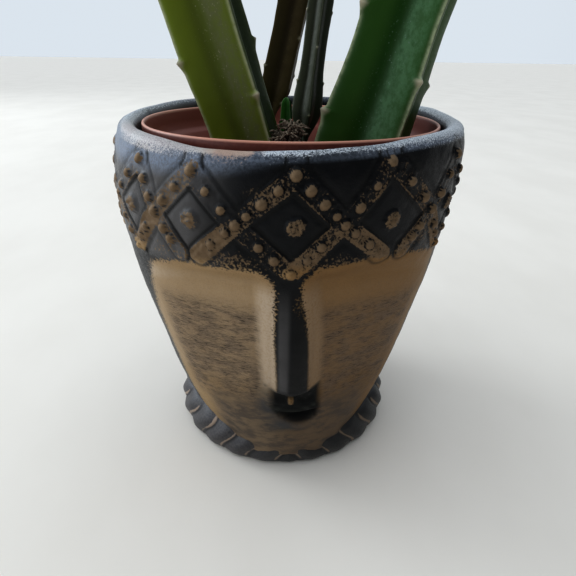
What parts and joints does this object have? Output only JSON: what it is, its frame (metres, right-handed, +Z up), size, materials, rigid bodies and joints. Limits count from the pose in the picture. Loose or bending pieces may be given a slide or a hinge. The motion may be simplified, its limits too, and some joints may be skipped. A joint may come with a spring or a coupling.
{
  "type": "potted stapelia",
  "caption": "Potted succulent: leaning four-angled toothed stems in a soil-filled growing pot, set in a cast planter with a stylised face, a beaded lattice headband and a rope-like foot.",
  "frame": {"origin": "middle of the planter's flat underside, on the surface that it stands on", "axes": "+Z up; the planter's face looks towards -Y; +X is to the right seen from the front"},
  "size_m": [0.1203, 0.1069, 0.2332],
  "materials": {
    "planter": "matt charcoal paint with worn gold rubbed over the raised ornament and the cheeks",
    "nursery_pot": "satin red-brown plastic",
    "soil": "crumbly potting soil",
    "stem_left": "waxy olive green skin",
    "stem_right": "waxy green skin",
    "stem_back_left": "waxy brown skin",
    "stem_back_right": "waxy grey-green skin",
    "shoot": "waxy bright green skin"
  },
  "bodies": {
    "root": {"planter": "planter", "nursery_pot": "nursery_pot", "soil": "soil", "stem_left": "stem_left", "stem_right": "stem_right", "stem_back_left": "stem_back_left", "stem_back_right": "stem_back_right", "shoot": "shoot"}
  },
  "joints": []
}
